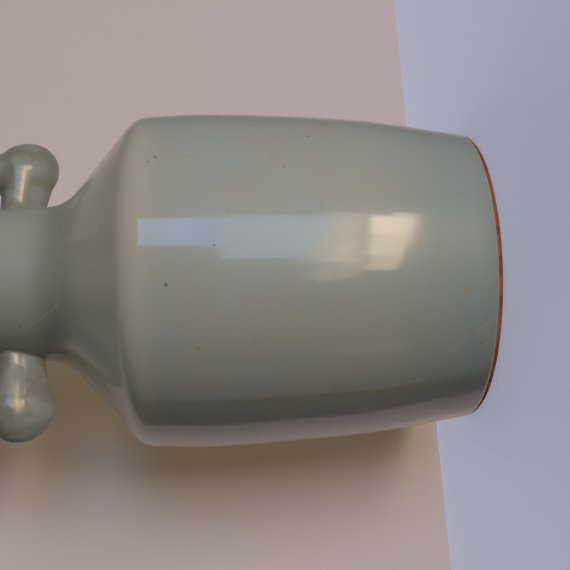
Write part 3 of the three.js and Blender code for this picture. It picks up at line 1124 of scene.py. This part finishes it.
def glaze_material(scene):
    """Celadon glaze of the thrown walls: bluer and darker over the foot, partly as painted shade, warmer on
    the shoulder, with a hairline
    """
    name = "wall_glaze"
    if name in bpy.data.materials:
        return bpy.data.materials[name]
    finish = scene.glaze_finish
    material, tree, surface = new_material(name)
    place = node(tree, "ShaderNodeTexCoord").outputs["Object"]
    height = node(tree, "ShaderNodeSeparateXYZ", {"Vector": place}).outputs["Z"]
    mottle = group_node(tree, mottle_group, {"Vector": place, "Scale": WALL_MOTTLE_SCALE})
    crack = group_node(tree, crack_group, {"Vector": place}).outputs["Mask"]
    grain = mottle.outputs["Grain"]

    tone = mixed(tree, mottle.outputs["Patch"], finish.celadon, finish.warm)
    # Painted shade along with a bluer glaze: the tone darkens and cools towards the foot
    tone = mixed(tree, ramp(tree, height, *FOOT_TINT_AND_SHADE_SPAN), tone, finish.foot_tint)
    tone = overlaid(tree, tone, ramp(tree, height, *SHOULDER_TINT_SPAN), SHOULDER_TINT_SHARE, finish.shoulder)
    tone = mixed(tree, ramp(tree, height, *NECK_TINT_SPAN), tone, finish.neck)
    tone = aged(tree, place, tone, WALL_STAIN_SHARE, finish)
    iron, ochre = (spots(tree, place, rows, scene.vase_sizes) for rows in (IRON_SPOTS, OCHRE_SPOTS))
    tone = overlaid(tree, tone, iron, SPECK_SHARE, finish.speck)
    tone = overlaid(tree, tone, ochre, OCHRE_SHARE, finish.stain)
    tone = overlaid(tree, tone, crack, CRACK_SHARE, finish.crack)
    tree.links.new(tone, surface.inputs["Base Color"])
    relief = math_node(tree, "MULTIPLY_ADD", crack, -CRACK_BUMP_SHARE, grain)
    glassy(tree, surface, grain, relief, WALL_GLOSS_ROUGHNESS)
    return material


def handle_glaze_material(scene):
    """Celadon glaze of the handles: darker, with olive patches where it ran over the relief"""
    finish = scene.glaze_finish
    material, tree, surface = new_material("handle_glaze")
    place = node(tree, "ShaderNodeTexCoord").outputs["Object"]
    mottle = group_node(tree, mottle_group, {"Vector": place, "Scale": HANDLE_MOTTLE_SCALE})
    tone = mixed(tree, mottle.outputs["Patch"], finish.handle, finish.olive)
    tone = aged(tree, place, tone, HANDLE_STAIN_SHARE, finish)
    tree.links.new(tone, surface.inputs["Base Color"])
    glassy(tree, surface, mottle.outputs["Grain"], mottle.outputs["Grain"], HANDLE_GLOSS_ROUGHNESS)
    return material


# Bare clay: the scale of its burnt patches and where they begin and end, and its sandy grain
BURN_SCALE = 120.0
BURN_DETAIL = 5.0
BURN_ROUGHNESS = 0.65
BURN_SHARES = (0.35, 0.7)
SAND_SCALE = 1500.0
SAND_DETAIL = 2.0
SAND_BUMP_SHARE = 0.6
SAND_BUMP = 0.0002
BISCUIT_ROUGHNESS = 0.85
BISCUIT_SPECULAR_LEVEL = 0.25


def biscuit_material():
    """Bare stoneware, burnt orange-brown in the kiln, with a sandy grain"""
    finish = bpy.context.scene.glaze_finish
    material, tree, surface = new_material("burnt_biscuit")
    place = node(tree, "ShaderNodeTexCoord").outputs["Object"]
    burn = noise_node(tree, place, BURN_SCALE, detail=BURN_DETAIL, roughness=BURN_ROUGHNESS)
    grain = noise_node(tree, place, SAND_SCALE, detail=SAND_DETAIL)
    tone = mixed(tree, ramp(tree, burn, *BURN_SHARES), finish.biscuit, finish.scorched)
    tree.links.new(tone, surface.inputs["Base Color"])
    set_values(surface, Roughness=BISCUIT_ROUGHNESS, Specular_IOR_Level=BISCUIT_SPECULAR_LEVEL)
    bumped(tree, surface, grain, SAND_BUMP_SHARE, SAND_BUMP)
    return material


# The photograph's camera: it looks level at the standing vase, turned so that the foot is on the right
CAMERA_PLACE = Vector((-0.12614, -0.34084, 0.09553))
CAMERA_AIM = Vector((-0.0003, 0.0064, 0.0738))
CAMERA_ROLL = math.radians(-91.286)

# The lamps hang on a wall of windows that faces the vase. Each has a name, its left, right, lower and
# upper edge on that wall, measured from the point that faces the vase, its radiance, its colour, and
# whether it lights the matt body of a surface or shows in its gloss.
WINDOW_WALL_AZIMUTH = math.radians(20)
WINDOW_WALL_DISTANCE = 2.0
WINDOW_WALL_MIDDLE = 0.09
WINDOWS = {
    "high_sky_pane": (-0.62, 0.01, 0.16, 0.42, 4.4, "8CBAFF", "gloss"),
    "sky_pane": (-0.68, 0.01, -0.06, 0.16, 3.3, "6CB0FF", "gloss"),
    "low_sky_pane": (-1.0, 0.05, -0.46, -0.06, 2.5, "ADCBFF", "gloss"),
    "pale_pane": (-1.2, 0.15, -0.7, -0.46, 2.5, "FFE9C4", "gloss"),
    "left_pale_pane": (-1.75, -1.2, -0.72, -0.54, 2.0, "FFE9C4", "gloss"),
    "narrow_pane": (-0.6, -0.1, -0.56, -0.5, 1.6, "FFE6C4", "gloss"),
    "middle_narrow_pane": (-1.1, -0.6, -0.6, -0.54, 3.8, "FFDEAC", "gloss"),
    "left_narrow_pane": (-1.85, -1.1, -0.68, -0.6, 2.4, "FFDFB0", "gloss"),
    "left_sun_pane": (-1.42, -0.95, -1.08, -0.74, 5.0, "FFE0B0", "gloss"),
    "middle_sun_pane": (-0.95, -0.35, -1.06, -0.7, 7.0, "FFDEB4", "gloss"),
    "right_sun_pane": (-0.35, 0.1, -1.04, -0.68, 9.0, "FFE3C3", "gloss"),
    "sun_glint": (-0.3, 0.22, -1.04, -0.87, 5.5, "FFF0DC", "gloss"),
    "sky_light": (-0.85, 0.15, -0.4, 0.4, 7.5, "CED9FF", "matt"),
    "sun_light": (-0.9, 0.2, -1.07, -0.6, 17.7, "FFDDBF", "matt"),
}

# Softer lamps all round: azimuth from the front and elevation in degrees, distance, width, height,
# radiance, colour and part
FILLS = {
    "slit": (-70, -18.5, 2.0, 0.25, 0.4, 0.4, "F4F8FF", "gloss"),
    "top_fill": (0, 70, 1.6, 1.4, 1.4, 0.1, "F4F0EC", "both"),
    "side_fill": (55, 0, 1.6, 1.2, 1.4, 0.2, "F4F0EC", "matt"),
    "rear_fill": (180, 20, 1.6, 1.6, 1.6, 1.45, "F4F1EE", "both"),
    "back_fill": (165, 10, 1.6, 0.8, 1.4, 3.0, "F4F1EE", "matt"),
}
WATTS_PER_RADIANCE = math.pi

SHEET_HALF_WIDTH = 3.0
SHEET_DROP = 0.0002
WARM_PAPER = "AEB1B0"
NEAR_PAPER = "ADAEB6"
COOL_PAPER = "AEAFBC"
# The upright sheet's own glow: it paints the brown of the vase's cast shadow on the sheet, and the glaze
# shows it in its gloss
SHADE_GLOW = "58452C"
FLOOR_GLOW = "8C8E9C"

# Over which height the upright sheet's tone changes
PAPER_TONE_SPAN = (0.0, 0.2)

# Where the upright sheet stops lighting the vase, to the left and to the right of it
LEFT_FADE = (-0.155, -0.18)
RIGHT_FADE = (0.12, 0.22)

# The stretch of the upright sheet that shines in the glaze: its left, right, lower and upper edge, its
# radiance, its colour and its part
SHINE = (-0.165, -0.07, -0.02, 0.3, 0.07, "FFEFE2", "gloss")


def aimed(place, direction):
    """Where a lamp or a camera stands that looks in a direction"""
    return Matrix.Translation(place) @ direction.to_track_quat("-Z", "Y").to_matrix().to_4x4()


def paper_material():
    """Pale paper that is only seen from its front; a part of its tone is its own glow, which on the upright
    sheet paints the brown of the vase's shadow and shows in the glaze's gloss
    """
    material, tree, surface = new_material("studio_paper")
    place = node(tree, "ShaderNodeTexCoord").outputs["Object"]
    place = node(tree, "ShaderNodeSeparateXYZ", {"Vector": place}).outputs
    geometry = node(tree, "ShaderNodeNewGeometry")
    level = node(tree, "ShaderNodeSeparateXYZ", {"Vector": geometry.outputs["Normal"]}).outputs["Z"]
    tone = mixed(tree, ramp(tree, place["Z"], *PAPER_TONE_SPAN), paint(NEAR_PAPER), paint(WARM_PAPER))
    tone = mixed(tree, level, tone, paint(COOL_PAPER))
    # Painted shadow colour: the upright sheet glows brown, and that brown is what its shadowed parts show
    glow = mixed(tree, level, paint(SHADE_GLOW), paint(FLOOR_GLOW))
    tree.links.new(tone, surface.inputs["Base Color"])
    tree.links.new(glow, surface.inputs["Emission Color"])
    set_values(surface, Roughness=1, Specular_IOR_Level=0)
    ray = node(tree, "ShaderNodeLightPath")
    shown = math_node(tree, "MAXIMUM", ray.outputs["Is Camera Ray"], ray.outputs["Is Glossy Ray"])
    tree.links.new(shown, surface.inputs["Emission Strength"])
    clear = node(tree, "ShaderNodeBsdfTransparent")
    fades = [ramp(tree, place["X"], *fade) for fade in (LEFT_FADE, RIGHT_FADE)]
    opening = math_node(tree, "MAXIMUM", math_node(tree, "MAXIMUM", *fades), level)
    unseen = math_node(tree, "SUBTRACT", 1.0, ray.outputs["Is Camera Ray"])
    unlit = product(tree, unseen, opening)
    hidden = math_node(tree, "MAXIMUM", geometry.outputs["Backfacing"], unlit)
    shaders = {1: surface.outputs["BSDF"], 2: clear.outputs["BSDF"]}
    side = node(tree, "ShaderNodeMixShader", {0: hidden, **shaders})
    tree.links.new(side.outputs["Shader"], tree.nodes["Material Output"].inputs["Surface"])
    return material


# The world's tones: dim on the left, less so on the right, and the pale one that the camera sees
LEFT_WORLD = "282521"
RIGHT_WORLD = "626268"
SEEN_WORLD = "A69D9B"
WORLD_SPAN = (-0.9, 0.9)
NEAR_CLIP = 0.01


class VASE_OT_studio(bpy.types.Operator):
    """Makes the floor, the backdrop, the lamps, the world and the camera"""

    bl_idname = "vase.studio"
    bl_label = "Studio"

    def execute(self, context):
        upright_y = BODY_BOX[1].y + context.scene.vase_studio.backdrop_gap
        self.sheets(upright_y)
        left, right, low, high, *light = SHINE
        place = Vector(((left + right) / 2, upright_y - SHEET_DROP, (low + high) / 2))
        self.lamp("paper_shine", place, Vector((0, 1, 0)), right - left, high - low, *light)
        middle = Vector((0, 0, WINDOW_WALL_MIDDLE))
        towards = facing(WINDOW_WALL_AZIMUTH, 0)
        aside = Vector((0, 0, 1)).cross(towards)
        for name, (left, right, low, high, *light) in WINDOWS.items():
            place = middle + towards * WINDOW_WALL_DISTANCE + aside * ((left + right) / 2)
            place.z += (low + high) / 2
            self.lamp(name, place, towards, right - left, high - low, *light)
        for name, (azimuth, elevation, distance, *light) in FILLS.items():
            towards = facing(math.radians(azimuth), math.radians(elevation))
            self.lamp(name, middle + towards * distance, towards, *light)
        self.world(context.scene)
        self.camera(context.scene)
        context.scene.view_settings.view_transform = "Standard"
        return {"FINISHED"}

    def sheets(self, upright_y):
        """A level sheet of paper, and an upright one close behind the vase that runs on under it"""
        mesh = bmesh.new()
        level = Matrix.Translation((0, 0, -SHEET_DROP))
        upright = Matrix.Translation((0, upright_y, 0)) @ Matrix.Rotation(math.pi / 2, 4, "X")
        for place in (level, upright):
            bmesh.ops.create_grid(mesh, x_segments=1, y_segments=1, size=SHEET_HALF_WIDTH, matrix=place)
        data = bpy.data.meshes.new("studio_sheets")
        mesh.to_mesh(data)
        mesh.free()
        data.materials.append(paper_material())
        sheets = bpy.data.objects.new("studio_sheets", data)
        bpy.context.scene.collection.objects.link(sheets)
        sheets.visible_shadow = False

    def lamp(self, name, place, towards, width, height, radiance, tint, part):
        """A rectangular lamp that faces back along its direction, with power from its radiance"""
        data = bpy.data.lights.new(name, "AREA")
        data.shape = "RECTANGLE"
        data.size = width
        data.size_y = height
        data.energy = radiance * width * height * WATTS_PER_RADIANCE
        data.color = paint(tint)
        lamp = bpy.data.objects.new(name, data)
        lamp.matrix_world = aimed(place, -towards)
        lamp.visible_camera = False
        lamp.visible_diffuse = part != "gloss"
        lamp.visible_glossy = part != "matt"
        bpy.context.scene.collection.objects.link(lamp)

    def background(self, tree, tone):
        """A background of one colour"""
        return node(tree, "ShaderNodeBackground", {"Color": tone, "Strength": 1.0}).outputs[0]

    def world(self, scene):
        """Soft light that is weaker from the left of the vase, over a pale background"""
        world = bpy.data.worlds.new("studio")
        scene.world = world
        world.use_nodes = True
        tree = world.node_tree
        tree.nodes.clear()
        way = node(tree, "ShaderNodeTexCoord").outputs["Generated"]
        side = node(tree, "ShaderNodeSeparateXYZ", {"Vector": way}).outputs["X"]
        tone = mixed(tree, ramp(tree, side, *WORLD_SPAN), paint(LEFT_WORLD), paint(RIGHT_WORLD))
        seen = node(tree, "ShaderNodeLightPath").outputs["Is Camera Ray"]
        light, ground = self.background(tree, tone), self.background(tree, (*paint(SEEN_WORLD), 1))
        both = node(tree, "ShaderNodeMixShader", {0: seen, 1: light, 2: ground})
        node(tree, "ShaderNodeOutputWorld", {"Surface": both.outputs[0]})

    def camera(self, scene):
        """The photograph's camera"""
        data = bpy.data.cameras.new("camera")
        data.lens = scene.vase_studio.lens
        data.clip_start = NEAR_CLIP
        camera = bpy.data.objects.new("camera", data)
        look = aimed(CAMERA_PLACE, CAMERA_AIM - CAMERA_PLACE)
        camera.matrix_world = look @ Matrix.Rotation(CAMERA_ROLL, 4, "Z")
        scene.collection.objects.link(camera)
        scene.camera = camera


PIECES = [VASE_OT_foot_ring, VASE_OT_floor, VASE_OT_thrown_walls, VASE_OT_phoenix_handles, VASE_OT_studio]
SETTINGS = {
    "vase_sizes": VaseSizes,
    "handle_sizes": HandleSizes,
    "glaze_finish": GlazeFinish,
    "vase_studio": StudioSettings,
}


class VASE_PT_panel(bpy.types.Panel):
    """Lists the vase's pieces and its stage"""

    bl_idname = "VASE_PT_panel"
    bl_label = "Mallet Vase"
    bl_space_type = "VIEW_3D"
    bl_region_type = "UI"
    bl_category = "Vase"

    def draw(self, context):
        for piece in PIECES:
            self.layout.operator(piece.bl_idname)
        for name, group in SETTINGS.items():
            box = self.layout.box()
            for field in group.__annotations__:
                box.prop(getattr(context.scene, name), field)


def register():
    for group in (*SETTINGS.values(), *PIECES, VASE_PT_panel):
        bpy.utils.register_class(group)
    for name, group in SETTINGS.items():
        setattr(bpy.types.Scene, name, PointerProperty(type=group))


def unregister():
    for name in SETTINGS:
        delattr(bpy.types.Scene, name)
    for group in (VASE_PT_panel, *reversed(PIECES), *SETTINGS.values()):
        bpy.utils.unregister_class(group)


def main():
    register()
    bpy.ops.vase.foot_ring()
    bpy.ops.vase.floor()
    bpy.ops.vase.thrown_walls()
    bpy.ops.vase.phoenix_handles()
    bpy.ops.vase.studio()


if __name__ == "__main__":
    main()
